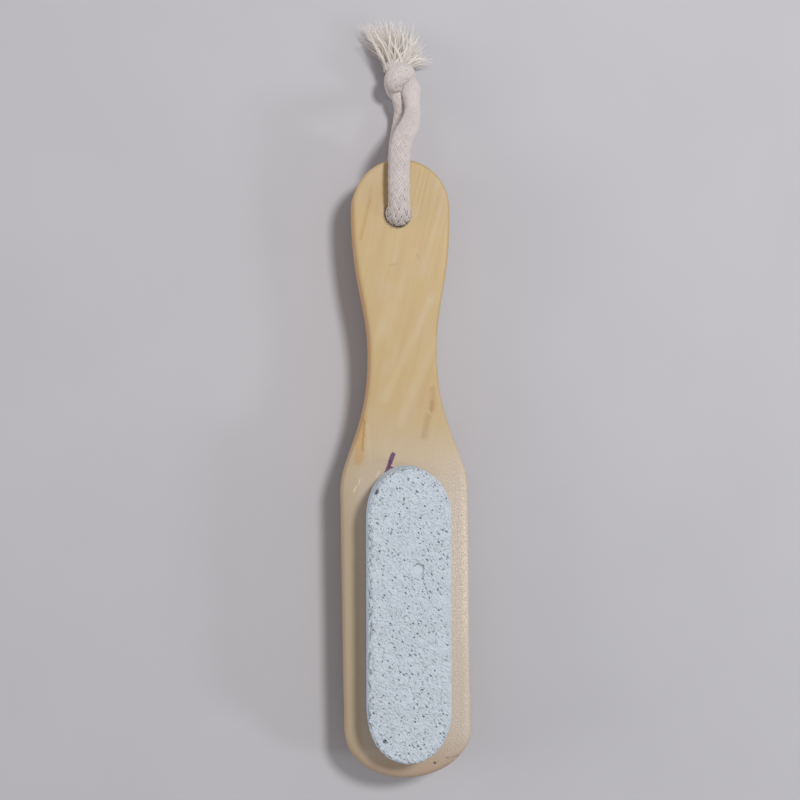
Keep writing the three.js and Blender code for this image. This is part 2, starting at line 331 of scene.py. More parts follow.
# The cord is round where it lies free and drawn thinner where the knot pulls on it.
CORD_GIRTH = 3.85
CORD_GIRTH_AT_KNOT = 2.9
CORD_DRAWN_OVER = 16.0
# It fills the hole, and thins again outside both rims.
CORD_SWELL = 0.8
CORD_SWELL_REACH = 10.5
CORD_SWELL_FADE = 4.0

BRAID_SIZES = {
    "Strands": 12,
    "Lay": 36.0 * MM,
    "Ribbon Width": 1.78 * MM,
    "Ribbon Thickness": 0.85 * MM,
    "Float": 0.17 * MM,
    "Wide": 1.06,
    "High": 0.99,
    "Step": 0.5 * MM,
}
RIBBON_SIDES = 12
YARN_GROOVE = 0.26
CORE_SIDES = 16
CORE_SHARE = 0.8


def smooth_route(points):
    """Points along a centripetal Catmull-Rom curve through the given ones."""
    points = [Vector(point[:3]) for point in points]
    ends = [2 * points[0] - points[1], *points, 2 * points[-1] - points[-2]]
    route = []
    for before, start, stop, after in zip(ends, ends[1:], ends[2:], ends[3:]):
        lead = (start - before).length ** 0.5
        gap = (stop - start).length ** 0.5
        tail = (after - stop).length ** 0.5
        leave = (start - before) / lead - (stop - before) / (lead + gap) + (stop - start) / gap
        arrive = (stop - start) / gap - (after - start) / (gap + tail) + (after - stop) / tail
        leave, arrive = leave * gap, arrive * gap
        for index in range(ROUTE_STEPS):
            t = index / ROUTE_STEPS
            route.append(
                start * (2 * t**3 - 3 * t**2 + 1)
                + leave * (t**3 - 2 * t**2 + t)
                + stop * (3 * t**2 - 2 * t**3)
                + arrive * (t**3 - t**2)
            )
    route.append(points[-1].copy())
    return route


def smooth(share):
    share = min(max(share, 0.0), 1.0)
    return share * share * (3 - 2 * share)


def lengths_along(points):
    """How far along a line each of its points is."""
    gone = [0.0]
    for first, second in zip(points, points[1:]):
        gone.append(gone[-1] + (second - first).length)
    return gone


def line_mesh(name, runs):
    """Open lines as a mesh, each point with the cord's half thickness there."""
    places, edges, girths = [], [], []
    for points, half_thickness in runs:
        first = len(places)
        places += [point * MM for point in points]
        girths += [girth * MM for girth in half_thickness]
        edges += [(first + index, first + index + 1) for index in range(len(points) - 1)]
    mesh = bpy.data.meshes.new(name)
    mesh.from_pydata(places, edges, [])
    mesh.attributes.new("girth", "FLOAT", "POINT").data.foreach_set("value", girths)
    return mesh


def ring(nodes, sides, radius=1.0):
    inputs = {"Resolution": sides, "Radius": radius}
    return nodes.get("GeometryNodeCurvePrimitiveCircle", inputs)


def section_ring(nodes, sides):
    """A ring for a strand's section, which holds how far across the strand its points are."""
    x, y, _ = nodes.parts(nodes.get("GeometryNodeInputPosition"))
    return nodes.keep(ring(nodes, sides), "across", y), x, y


def facing(nodes, lines, normal):
    """Lines whose sections are turned to face one way."""
    inputs = {"Curve": lines, "Normal": normal}
    return nodes.get("GeometryNodeSetCurveNormal", inputs, mode="FREE")


def braid_tree():
    """Flat strands that wind both ways round a line, two over and two under, on a soft core."""
    nodes, size, outputs = geometry_tree("Braided cord", BRAID_SIZES)
    line = nodes.get("GeometryNodeMeshToCurve", {"Mesh": size["Geometry"]})
    inputs = {"Curve": line, "Length": size["Step"]}
    run = nodes.get("GeometryNodeResampleCurve", inputs, mode="LENGTH")
    strands, number = nodes.copies(run, size["Strands"] * 2.0)
    girth = nodes.kept("girth")
    hand = (number < size["Strands"]) * 2.0 - 1.0
    length = nodes.get("GeometryNodeSplineParameter", output="Length")
    wound = length * FULL_TURN / size["Lay"]
    angle = wound * hand + number * FULL_TURN / size["Strands"]
    side = nodes.get("GeometryNodeInputNormal")
    up = nodes.vector("CROSS_PRODUCT", side, nodes.get("GeometryNodeInputTangent"))
    outward = side * angle.cos() + up * angle.sin()
    oval = side * (angle.cos() * size["Wide"]) + up * (angle.sin() * size["High"])
    # Strands of one hand lie on top where those of the other dip, in columns along the cord.
    wave = (size["Strands"] * 0.5 * angle - math.pi / 4).cos()
    half_ribbon = size["Ribbon Thickness"] * 0.5
    radius = girth - half_ribbon - size["Float"] + wave * hand * size["Float"]
    strands = nodes.keep(strands, "outward", outward, "FLOAT_VECTOR")
    strands = nodes.keep(nodes.keep(strands, "strand", number), "along", length)
    laid = nodes.placed(strands, oval * radius, "Offset")
    laid = facing(nodes, laid, nodes.kept("outward", "FLOAT_VECTOR"))
    # A strand's section is a flat oval of two yarns side by side.
    oval_ring, x, y = section_ring(nodes, RIBBON_SIDES)
    swell = (y * FULL_TURN).cos() * -YARN_GROOVE + (1.0 - YARN_GROOVE)
    flat = nodes.combined(x * swell * half_ribbon, y * (size["Ribbon Width"] * 0.5), 0.0)
    ribbons = nodes.tube(laid, nodes.placed(oval_ring, flat))
    core = nodes.tube(run, ring(nodes, CORE_SIDES, CORE_SHARE), girth)
    return finish_tree(nodes, size, outputs, nodes.joined(core, ribbons))


def hang_cord(tree, cotton):
    route = smooth_route(CORD_ROUTE)
    gone = lengths_along(route)
    length = gone[-1]
    hole = Vector(CORD_HOLE)
    girths = [
        CORD_GIRTH_AT_KNOT
        + (CORD_GIRTH - CORD_GIRTH_AT_KNOT) * smooth(min(place, length - place) / CORD_DRAWN_OVER)
        + CORD_SWELL * smooth((CORD_SWELL_REACH - (point - hole).length) / CORD_SWELL_FADE)
        for place, point in zip(gone, route)
    ]
    base = line_mesh("cord_route", [(route, girths)])
    cord = grown("cotton_cord", tree, base, cotton, BRAID_SIZES)
    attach(cord, "hang_loop")
    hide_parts("hang_cord")
    return cord, [point * MM for point in route], length * MM


# Knot and frayed ends.

KNOT_BRAID = {
    **BRAID_SIZES,
    "Wide": 1.0,
    "High": 1.0,
    "Float": 0.14 * MM,
    "Ribbon Width": 1.85 * MM,
}
# Each run of cord in the knot, as places with the half thickness there.
KNOT_RUNS = (
    # The left leg goes in under the front turn.
    (
        (2.7, 135.6, 6.3, 3.1), (2.1, 138.0, 7.3, 2.9), (1.4, 140.6, 8.0, 3.0),
        (1.4, 143.4, 8.0, 3.0),
    ),
    # The front turn climbs to the right and turns in behind.
    (
        (3.8, 144.0, 7.4, 3.0), (1.3, 144.5, 9.2, 3.2), (-0.6, 145.5, 10.4, 3.9),
        (-0.2, 147.0, 11.5, 4.2), (1.9, 148.8, 11.6, 4.2), (3.8, 149.3, 9.4, 3.6),
        (4.3, 148.5, 6.8, 3.3), (3.4, 147.0, 4.8, 3.2), (1.6, 145.6, 4.5, 3.2),
    ),
    # The right leg bends in under that turn.
    (
        (5.9, 135.6, 12.1, 2.9), (5.8, 138.0, 11.9, 3.1), (5.6, 140.6, 11.5, 3.5),
        (5.4, 143.2, 9.9, 4.2), (4.7, 146.0, 8.0, 3.6), (2.4, 147.6, 7.4, 3.4),
    ),
    # One more turn closes the knot below.
    (
        (-1.2, 147.4, 6.2, 3.3), (0.6, 143.6, 4.1, 3.4), (4.6, 141.9, 4.3, 3.4),
        (6.6, 143.6, 7.0, 3.3),
    ),
    # Both ends leave together.
    (
        (2.0, 147.0, 8.0, 4.0), (1.0, 150.0, 8.2, 4.2), (0.5, 151.6, 8.2, 4.4),
        (0.4, 153.2, 8.0, 4.5),
    ),
)


def cord_knot(tree, cotton):
    """The overhand knot."""
    runs = []
    for run in KNOT_RUNS:
        route = smooth_route(run)
        wanted = [point[3] for point in run]
        girths = []
        for index in range(len(route)):
            at, part = divmod(index / ROUTE_STEPS, 1.0)
            after = min(int(at) + 1, len(wanted) - 1)
            girths.append(wanted[int(at)] * (1 - part) + wanted[after] * part)
        runs.append((route, girths))
    knot = grown("cotton_knot", tree, line_mesh("knot_runs", runs), cotton, KNOT_BRAID)
    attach(knot, "hang_loop")
    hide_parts("cord_knot")
    return knot


FRAY_SIZES = {
    "Threads": 540,
    "Threads In Lock": 6,
    "Root": Vector((0.4, 150.4, 8.0)) * MM,
    "Root Spread": 4.6 * MM,
    "Reach": 21.2 * MM,
    "Fan Left": math.radians(-43),
    "Fan Right": math.radians(70),
    "Longest At": math.radians(-20),
    "Lift": math.radians(16),
    "Droop": 5.5 * MM,
    "Curl": 2.6 * MM,
    "Thread Radius": 0.18 * MM,
    "Lock Half Width": 0.45 * MM,
    "Seed": 7,
}
THREAD_POINTS = 11
THREAD_SIDES = 5
LOCK_SIDES = 8
LOCK_FLATNESS = 0.22


def curl_of(nodes, key, amount):
    """A small wandering vector along a thread."""
    field = nodes.noise(key, 1.0, 1.0, output="Color")
    return (field - (0.5, 0.5, 0.5)) * (2.0 * amount)


def fray_tree():
    """Loose threads that fan out from one root in locks, curl, and sink towards the floor."""
    nodes, size, outputs = geometry_tree("Frayed threads", FRAY_SIZES)
    threads, number = nodes.straight_lines((0.0, 1.0, 0.0), THREAD_POINTS, size["Threads"])
    lock = number // size["Threads In Lock"]
    seeds = [size["Seed"] + float(step) for step in range(7)]
    share = nodes.get("GeometryNodeSplineParameter", output="Factor")
    lock_fan = nodes.random(size["Fan Left"], size["Fan Right"], lock, seeds[0])
    fan = lock_fan + nodes.random(-0.13, 0.13, number, seeds[1])
    lock_lift = nodes.random(size["Lift"] * -0.55, size["Lift"], lock, seeds[2])
    lift = lock_lift + nodes.random(-0.1, 0.1, number, seeds[3])
    # Threads are longest to the left of the middle and shorter towards both sides.
    shorter = nodes.span(abs(fan - size["Longest At"]), 0.3, 1.35, 1.0, 0.62)
    length = size["Reach"] * shorter * nodes.random(0.68, 1.0, number, seeds[4])
    # Towards their tips the locks draw together into clumps.
    fan = (fan * 19.0).sin() * 0.05 * share + fan
    opened = fan * (share * 0.4 + 0.6)
    forward = length * share
    flat = forward * lift.cos()
    height = forward * lift.sin() - share * share * size["Droop"]
    root_turn = nodes.random(0.0, FULL_TURN, number, seeds[5])
    root_out = size["Root Spread"] * nodes.random(0.1, 1.0, number, seeds[6])
    root = nodes.combined(root_out * root_turn.cos(), 0.0, root_out * root_turn.sin())
    spread = nodes.combined(flat * opened.sin(), flat * opened.cos(), height)
    fanned = size["Root"] + root + spread
    # A slow wander for each lock and a small crimp for each thread.
    lock_key = nodes.combined(lock * 3.7, share * 1.3, 0.0)
    thread_key = nodes.combined(number * 5.3, share * 4.0, 9.0)
    wander = curl_of(nodes, lock_key, 1.0) + curl_of(nodes, thread_key, 0.45)
    x, y, z = nodes.parts(fanned + wander * (share * size["Curl"]))
    resting = nodes.combined(x, y, z.at_least(size["Thread Radius"] * 2.0))
    threads = nodes.keep(nodes.keep(threads, "strand", number), "along", forward)
    # The first thread of each lock is drawn as the lock's own flat ribbon of matted fibres.
    is_first = (number % size["Threads In Lock"]) < 0.5
    inputs = {"Geometry": nodes.placed(threads, resting), "Selection": is_first}
    locks, loose = nodes.get_all("GeometryNodeSeparateGeometry", inputs, domain="CURVE")
    level = facing(nodes, locks, (0.0, 0.0, 1.0))
    lock_ring, ring_x, ring_y = section_ring(nodes, LOCK_SIDES)
    flat_ring = nodes.placed(lock_ring, nodes.combined(ring_x * LOCK_FLATNESS, ring_y, 0.0))
    width = nodes.span(share, 0.0, 0.3, 0.7, 1.0) * nodes.span(share, 0.3, 1.0, 1.0, 0.1)
    ribbons = nodes.tube(level, flat_ring, width * size["Lock Half Width"])
    taper = size["Thread Radius"] * nodes.span(share, 0.2, 1.0, 1.0, 0.4)
    fibres = nodes.tube(loose, section_ring(nodes, THREAD_SIDES)[0], taper)
    return finish_tree(nodes, size, outputs, nodes.joined(ribbons, fibres))


def frayed_ends(thread_cotton):
    base = bpy.data.meshes.new("fray_base")
    fray = grown("cotton_fray", fray_tree(), base, thread_cotton, FRAY_SIZES)
    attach(fray, "hang_loop")
    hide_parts("frayed_ends")
    return fray


# Wooden paddle.

WOOD_LENGTH = 230.0
WOOD_LOW = 10.0
WOOD_HIGH = 22.5
HEAD_WIDTH = 47.5
HEAD_LENGTH = 107.0
TIP_DEPTH = 17.5
NECK_WIDTH = 25.0
NECK_FROM_END = 72.0
END_WIDTH = 36.0
END_DEPTH = 18.0
SHOULDER_EASE = 13.0
NECK_EASE_TO_HEAD = 28.0
NECK_EASE_TO_END = 20.0
END_EASE = 30.0
# The rim is round on the head and slimmer on the handle. Sanding has left it uneven.
HEAD_RIM = 2.9
HANDLE_RIM = 1.1
RIM_SLIMS_FROM = -12.0
RIM_SLIMS_OVER = 26.0
RIM_UNEVEN = 0.12
RIM_WAVE_ACROSS = 14.0
RIM_WAVE_ALONG = 22.0
RIM_WAVE_LAYER = 0.3
SANDING = 0.14
CURVE_STEPS = 60
OUTLINE_SPACING = 1.3
RIM_STEPS = 7
# The flat face's first ring, in rim radii from the edge.
FACE_INSET = 1.5


def quarter_turn(steps):
    return [step / steps * math.pi / 2 for step in range(steps + 1)]


def lower_end(half, middle, depth):
    """The right half of an outline's lower end, from its tip."""
    turns = quarter_turn(CURVE_STEPS)
    return [Vector((half * math.sin(turn), middle - depth * math.cos(turn))) for turn in turns]


def upper_end(half, middle, depth):
    """The right half of an outline's upper end, to its tip."""
    turns = quarter_turn(CURVE_STEPS)
    return [Vector((half * math.cos(turn), middle + depth * math.sin(turn))) for turn in turns]


def whole_outline(side):
    """A closed outline at even steps from its right side, which runs from the lower end up."""
    gone = lengths_along(side)
    count = max(2, round(gone[-1] / OUTLINE_SPACING))
    even, at = [], 0
    for index in range(count + 1):
        goal = gone[-1] * index / count
        while at < len(side) - 2 and gone[at + 1] < goal:
            at += 1
        stretch = gone[at + 1] - gone[at]
        share = (goal - gone[at]) / stretch if stretch else 0.0
        even.append(side[at].lerp(side[at + 1], share))
    return even + [Vector((-point.x, point.y)) for point in reversed(even[1:-1])]


def eased(x, y, leave, end_x, end_y, arrive):
    """A curve that leaves one place and arrives at another along the handle."""
    knots = ((x, y), (x, y + leave), (end_x, end_y - arrive), (end_x, end_y))
    return interpolate_bezier(*[Vector(knot) for knot in knots], CURVE_STEPS)


def paddle_outline():
    head, neck, end = HEAD_WIDTH / 2, NECK_WIDTH / 2, END_WIDTH / 2
    shoulder_y = HEAD_LENGTH - WOOD_LENGTH / 2
    neck_y = WOOD_LENGTH / 2 - NECK_FROM_END
    end_y = WOOD_LENGTH / 2 - END_DEPTH
    side = lower_end(head, TIP_DEPTH - WOOD_LENGTH / 2, TIP_DEPTH)
    side += eased(head, shoulder_y, SHOULDER_EASE, neck, neck_y, NECK_EASE_TO_HEAD)
    side += eased(neck, neck_y, NECK_EASE_TO_END, end, end_y, END_EASE)
    return whole_outline(side + upper_end(end, end_y, END_DEPTH))


def rounded_slab(name, outline, low, high, rim_at):
    """A flat body with rounded rims, as rings from its lower face to its upper one."""
    count = len(outline)
    inward = []
    for index in range(count):
        run = outline[(index + 1) % count] - outline[index - 1]
        inward.append(Vector((-run.y, run.x)).normalized())
    rim = [(FACE_INSET, 0.0)]
    rim += [(1 - math.sin(turn), 1 - math.cos(turn)) for turn in quarter_turn(RIM_STEPS)]
    rings = [(inset, rise, low, 1.0) for inset, rise in rim]
    rings += [(inset, rise, high, -1.0) for inset, rise in reversed(rim)]
    places = []
    for inset, rise, face, way in rings:
        for point, inner in zip(outline, inward):
            radius, sanded = rim_at(point)
            moved = point + inner * (inset * radius + sanded)
            places.append(Vector((moved.x, moved.y, face + way * rise * radius)) * MM)
    faces = [tuple(range(count - 1, -1, -1))]
    for start in range(0, (len(rings) - 1) * count, count):
        for index in range(count):
            here, beside = start + index, start + (index + 1) % count
            faces.append((here, beside, beside + count, here + count))
    faces.append(tuple(range((len(rings) - 1) * count, len(rings) * count)))
    mesh = bpy.data.meshes.new(name)
    mesh.from_pydata(places, [], faces)
    return mesh


def wood_rim(point):
    """The rim's radius, larger round the head, and how far sanding has taken the edge in."""
    slim = smooth((point.y - RIM_SLIMS_FROM) / RIM_SLIMS_OVER)
    wave = Vector((point.x / RIM_WAVE_ACROSS, point.y / RIM_WAVE_ALONG, RIM_WAVE_LAYER))
    uneven = noise.noise(wave)
    radius = HEAD_RIM + (HANDLE_RIM - HEAD_RIM) * slim
    return radius * (1.0 + RIM_UNEVEN * uneven), SANDING * (0.5 + 0.5 * uneven)


TUFT_FIELD = {
    "Rows": 4,
    "Tufts": 14,
    "Row Pitch": 8.0 * MM,
    "Tuft Pitch": 7.6 * MM,
    "Field Middle": -53.0 * MM,
}


def tuft_place_group():
    """Where a tuft stands. Outer rows hold one tuft fewer and stand in their neighbours' gaps."""
    inputs = {"Index": "Int", **forms_of(TUFT_FIELD)}
    gives = {"Place": "Vector", "Used": "Bool"}
    nodes, size, outputs = new_tree("Tuft place", "GeometryNodeTree", inputs, gives)
    column = size["Index"] % size["Tufts"]
    last = size["Tufts"] - 1.0
    from_middle = size["Index"] // size["Tufts"] - (size["Rows"] - 1.0) * 0.5
    is_outer = abs(from_middle) > 1.0
    steps = is_outer * 0.5 + (column - last * 0.5)
    y = steps * size["Tuft Pitch"] + size["Field Middle"]
    nodes.join(nodes.combined(from_middle * size["Row Pitch"], y, 0.0), outputs["Place"])
    nodes.join(1.0 - is_outer * (column > last - 0.5), outputs["Used"])
    return nodes.tree


def tuft_place(nodes, size, group, index):
    """The place of one tuft, and whether there is one."""
    return nodes.group(group, {"Index": index, **{name: size[name] for name in TUFT_FIELD}})


DRILL_SIZES = {
    **TUFT_FIELD,
    "Tuft Hole Radius": 1.55 * MM,
    "Tuft Hole Depth": 6.0 * MM,
    "Cord Hole": Vector(CORD_HOLE) * MM,
    "Cord Hole Radius": 4.65 * MM,
    "Underside": WOOD_LOW * MM,
    "Thickness": (WOOD_HIGH - WOOD_LOW) * MM,
    "Eased Rim": 0.08 * MM,
}
TUFT_HOLE_SIDES = 20
CORD_HOLE_SIDES = 64
CREASE = math.radians(32)


def cylinder(nodes, sides, radius, depth):
    inputs = {"Vertices": sides, "Radius": radius, "Depth": depth}
    return nodes.get("GeometryNodeMeshCylinder", inputs)


def shifted(nodes, geometry, way):
    inputs = {"Geometry": geometry, "Translation": way}
    return nodes.get("GeometryNodeTransform", inputs)


def drilled_tree(group):
    """Drills the tuft holes and the cord hole through a blank, and eases the cord hole's rims."""
    nodes, size, outputs = geometry_tree("Drilled paddle", DRILL_SIZES)
    index = nodes.get("GeometryNodeInputIndex")
    place, used = tuft_place(nodes, size, group, index)
    below = place + nodes.combined(0.0, 0.0, size["Underside"])
    inputs = {"Count": size["Rows"] * size["Tufts"], "Position": below}
    points = nodes.get("GeometryNodePoints", inputs)
    bit = cylinder(nodes, TUFT_HOLE_SIDES, size["Tuft Hole Radius"], size["Tuft Hole Depth"])
    inputs = {"Points": points, "Selection": used, "Instance": bit}
    bits = nodes.get("GeometryNodeInstanceOnPoints", inputs)
    bits = nodes.get("GeometryNodeRealizeInstances", {"Geometry": bits})
    narrow = size["Cord Hole Radius"]
    wide = size["Eased Rim"] * 2.0 + narrow
    shafts = [cylinder(nodes, CORD_HOLE_SIDES, narrow, size["Thickness"] * 1.5)]
    # Two short cones open the rims, one up and one down.
    for way, top, bottom in ((1.0, wide, narrow), (-1.0, narrow, wide)):
        inputs = {"Vertices": CORD_HOLE_SIDES, "Radius Top": top, "Radius Bottom": bottom}
        inputs["Depth"] = size["Eased Rim"] * 2.0
        cone = nodes.get("GeometryNodeMeshCone", inputs)
        drop = size["Thickness"] * (0.5 * way) - size["Eased Rim"]
        shafts.append(shifted(nodes, cone, nodes.combined(0.0, 0.0, drop)))
    boolean = {"kind": "GeometryNodeMeshBoolean", "socket": "Mesh 2", "solver": "EXACT"}
    bored = shifted(nodes, nodes.joined(*shafts, operation="UNION", **boolean), size["Cord Hole"])
    inputs = {"Mesh 1": size["Geometry"], "Mesh 2": nodes.joined(bits, bored)}
    wood = nodes.get("GeometryNodeMeshBoolean", inputs, operation="DIFFERENCE", solver="EXACT")
    is_crease = nodes.get("GeometryNodeInputMeshEdgeAngle") > CREASE
    inputs = {"Geometry": wood, "Selection": is_crease, "Shade Smooth": False}
    creased = nodes.get("GeometryNodeSetShadeSmooth", inputs, domain="EDGE")
    return finish_tree(nodes, size, outputs, creased)


def wooden_paddle(group, wood):
    blank = rounded_slab("paddle_blank", paddle_outline(), WOOD_LOW, WOOD_HIGH, wood_rim)
    paddle = grown("wooden_paddle", drilled_tree(group), blank, wood, DRILL_SIZES)
    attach(paddle, "brush")
    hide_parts("wood_handle")


# Bristles.

BRISTLE_SIZES = {
    **TUFT_FIELD,
    "Row": 0,
    "Strands": 62,
    "Root Height": (WOOD_LOW + 2.0) * MM,
    "Root Radius": 1.35 * MM,
    "Tip Radius": 2.7 * MM,
    "Strand Radius": 0.15 * MM,
    "Seed": 3,
}
SEEDS_PER_ROW = 10
BRISTLE_POINTS = 5
BRISTLE_SIDES = 5
BRISTLE_BOW = 1.35
BRISTLE_TRIM = 0.25 * MM
GOLDEN_TURN = math.pi * (3 - math.sqrt(5))


def bristle_tree(group):
    """One row of tufts. Their strands spread from their holes to tips trimmed on the floor."""
    nodes, size, outputs = geometry_tree("Bristle row", BRISTLE_SIZES)
    amount = size["Tufts"] * size["Strands"]
    strands, number = nodes.straight_lines((0.0, 0.0, 1.0), BRISTLE_POINTS, amount)
    strand = number % size["Strands"]
    index = size["Row"] * size["Tufts"] + number // size["Strands"]
    place, used = tuft_place(nodes, size, group, index)
    share = nodes.get("GeometryNodeSplineParameter", output="Factor")
    seeds = [size["Seed"] + float(step) for step in range(3)]
    turn = strand * GOLDEN_TURN + nodes.random(-0.5, 0.5, number, seeds[0])
    out = ((strand + 0.5) / size["Strands"]).root()
    tip_out = size["Tip Radius"] * out * nodes.random(0.8, 1.12, number, seeds[1])
    root_out = size["Root Radius"] * out
    # The spread grows towards the tip, so a strand bows outwards a little.
    reach = (tip_out - root_out) * share**BRISTLE_BOW + root_out
    trim = nodes.random(0.0, BRISTLE_TRIM, number, seeds[2])
    drop = share * (size["Root Height"] - trim)
    height = size["Root Height"] - drop
    offset = nodes.combined(reach * turn.cos(), reach * turn.sin(), height)
    strands = nodes.keep(nodes.keep(strands, "strand", number), "along", drop)
    inputs = {"Geometry": nodes.placed(strands, place + offset), "Selection": 1.0 - used}
    standing = nodes.get("GeometryNodeDeleteGeometry", inputs, domain="CURVE")
    tufts = nodes.tube(standing, ring(nodes, BRISTLE_SIDES), size["Strand Radius"])
    return finish_tree(nodes, size, outputs, tufts)


def bristle_rows(group, bristle):
    tree = bristle_tree(group)
    for row in range(TUFT_FIELD["Rows"]):
        base = bpy.data.meshes.new("row_base")
        seed = BRISTLE_SIZES["Seed"] + SEEDS_PER_ROW * row
        sizes = {**BRISTLE_SIZES, "Row": row, "Seed": seed}
        tufts = grown(f"bristle_tufts_{row + 1}", tree, base, bristle, sizes)
        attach(tufts, "brush")
        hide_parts(f"bristle_row_{row + 1}")


# Pumice block.

STONE_LENGTH = 107.5
STONE_WIDTH = 30.8
STONE_LOW = 23.0
STONE_HIGH = 36.5
STONE_END_DEPTH = 18.6
STONE_EDGE = 1.3
STONE_MIDDLE = Vector((-0.7, -51.45, 0.0))
STONE_TURN = math.radians(-0.8)
STONE_VOXEL = 0.345 * MM
PIT_STRETCH = 2.2
# Layers of pits: how far apart, the share of places that have one, and its half width.
PIT_LAYERS = {
    "Deep": (0.82, 0.58, 0.235),
    "Small": (0.52, 0.85, 0.17),
}
# Single features of the upper face, in the block's own place: a chip in the left edge, a wide
# pit near the lower end, and a round bump with a crescent groove at its upper right.
STONE_HOLLOWS = (((-12.4, 45.2), 1.1), ((-9.1, -44.8), 0.75))
STONE_BUMP = (2.9, 16.8)
STONE_BUMP_RADIUS = 2.0
STONE_BUMP_SHIFT = 0.4
STONE_SIZES = {
    "Deep Pit": 0.6 * MM,
    "Small Pit": 0.22 * MM,
    "Unevenness": 0.18 * MM,
    "Crumbling": 0.35 * MM,
    "Left Crumbling": 0.42 * MM,
    "Left Lean": 0.45 * MM,
}


def drawn_out(nodes, place):
    """Places as the pits see them, which are drawn out along one diagonal of the block."""
    x, y, z = nodes.parts(place)
    diagonal = (x - y) * (math.sqrt(0.5) / PIT_STRETCH)
    return nodes.combined(diagonal, (x + y) * math.sqrt(0.5), z)


def pits(nodes, place, layer):
    """How deep in a pit a place is, from 0 to 1, for one layer of pits. Places are in mm."""
    apart, share, half_width = PIT_LAYERS[layer]
    inputs = {"Vector": place, "Scale": 1.0 / apart, "Randomness": 1.0}
    settings = {"voronoi_dimensions": "3D", "feature": "F1"}
    away, cell, *_ = nodes.get_all("ShaderNodeTexVoronoi", inputs, **settings)
    lot, size, _ = nodes.parts(cell)
    widest = half_width / apart
    reach = size * (0.8 * widest) + 0.55 * widest
    return nodes.span(1.0 - away / reach, 0.0, 0.75) * (lot < share)


def disc(nodes, place, middle, radius):
    """A soft round spot on the block's upper face, from 0 to 1."""
    away = nodes.vector("DISTANCE", place, (*middle, STONE_HIGH))
    return nodes.span(away, radius * 1.25, radius * 0.75)


def off_bump(nodes, place):
    """1 away from the smooth round bump and 0 on it."""
    return 1.0 - disc(nodes, place, STONE_BUMP, STONE_BUMP_RADIUS)


def off_right_rim(nodes, place):
    """1 away from the right rim of the upper face, which is worn smooth, and 0 on it."""
    x, _, z = nodes.parts(place)
    return 1.0 - nodes.span(x, 13.3, 14.3) * nodes.span(z, 34.6, 35.4)


def stone_features(nodes, place):
    """The chip, the wide pit and the groove beside the bump, as one depth from 0 to 1."""
    groove_middle = [part + STONE_BUMP_SHIFT for part in STONE_BUMP]
    groove = disc(nodes, place, groove_middle, STONE_BUMP_RADIUS)
    crumbs = nodes.span(nodes.noise(place, 1.6), 0.3, 0.6, 0.3, 1.0)
    broken = nodes.span(nodes.noise(place, 0.8), 0.42, 0.58)
    depth = groove * off_bump(nodes, place) * (broken * 0.7)
    for middle, radius in STONE_HOLLOWS:
        depth = depth.at_least(disc(nodes, place, middle, radius) * crumbs)
    return depth


def all_pits(nodes, place):
    """The depth of the deep pits and of the small ones, with the single features."""
    drawn = drawn_out(nodes, place)
    clear = off_bump(nodes, place) * off_right_rim(nodes, place)
    deep, small = (pits(nodes, drawn, layer) * clear for layer in ("Deep", "Small"))
    return deep.at_least(stone_features(nodes, place)), small


def pumice_tree():
    """Wears a smooth block down to pumice: pits, uneven faces and crumbled edges."""
    nodes, size, outputs = geometry_tree("Pumice", STONE_SIZES)
    position = nodes.get("GeometryNodeInputPosition")
    place = position * PER_MM
    deep, small = all_pits(nodes, place)
    normal = nodes.get("GeometryNodeInputNormal")
    facing_right, _, facing_up = nodes.parts(normal)
    x, _, z = nodes.parts(place)
    # Along the rims the faces turn, and there the stone has crumbled, most of all on the left,
    # where it reaches in from the edge, and least on the right.
    is_rim = nodes.span(facing_up, -0.25, 0.35) * nodes.span(facing_up, 0.999, 0.85)
    near_left = nodes.span(x, -12.4, -14.6) * nodes.span(facing_up, 0.3, 0.9)
    streaks = nodes.noise(place * (0.9, 0.42, 0.8), 1.0, 3.0, 0.65)
    crumble = nodes.span(streaks, 0.46, 0.68) * is_rim.at_least(near_left)
    crumble = crumble * nodes.span(facing_right, 0.15, 0.5, 1.0, 0.1)
    is_left = nodes.span(facing_right, -0.1, -0.45)
    crumb_depth = size["Crumbling"] + is_left * size["Left Crumbling"]
    sunk = small * size["Small Pit"] + deep * size["Deep Pit"]
    sunk = nodes.noise(place, 0.11) * size["Unevenness"] + sunk
    sunk = crumble * crumb_depth + sunk
    kept = nodes.keep(size["Geometry"], "rest_place", position, "FLOAT_VECTOR")
    kept = nodes.keep(kept, "crumbled", crumble)
    kept = nodes.keep(kept, "wall", nodes.span(facing_up, 0.75, 0.2))
    # The left wall leans in towards the wood.
    leaning = nodes.span(x, -11.0, -15.0) * nodes.span(z, STONE_HIGH, STONE_LOW)
    lean = nodes.combined(leaning * size["Left Lean"], 0.0, 0.0)
    worn = nodes.placed(kept, normal * (sunk * -1.0) + lean, "Offset")
    return finish_tree(nodes, size, outputs, worn)


def stone_rim(point):
    """The same rim all round, and no sanding."""
    return STONE_EDGE, 0.0


def pumice_block(pumice):
    half = STONE_WIDTH / 2
    end_y = STONE_LENGTH / 2 - STONE_END_DEPTH
    side = lower_end(half, -end_y, STONE_END_DEPTH) + upper_end(half, end_y, STONE_END_DEPTH)
    blank = rounded_slab("pumice_blank", whole_outline(side), STONE_LOW, STONE_HIGH, stone_rim)
    stone = grown("pumice_block", pumice_tree(), blank, pumice, STONE_SIZES, voxel=STONE_VOXEL)
    turned = Matrix.Rotation(STONE_TURN, 4, "Z")
    stone.data.transform(Matrix.Translation(STONE_MIDDLE * MM) @ turned)
    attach(stone, "brush")
    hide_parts("pumice_stone")


# Effects that several finishes share.


def shader_group(name, inputs, outputs):
    return new_tree(name, "ShaderNodeTree", inputs, {output: "Float" for output in outputs})


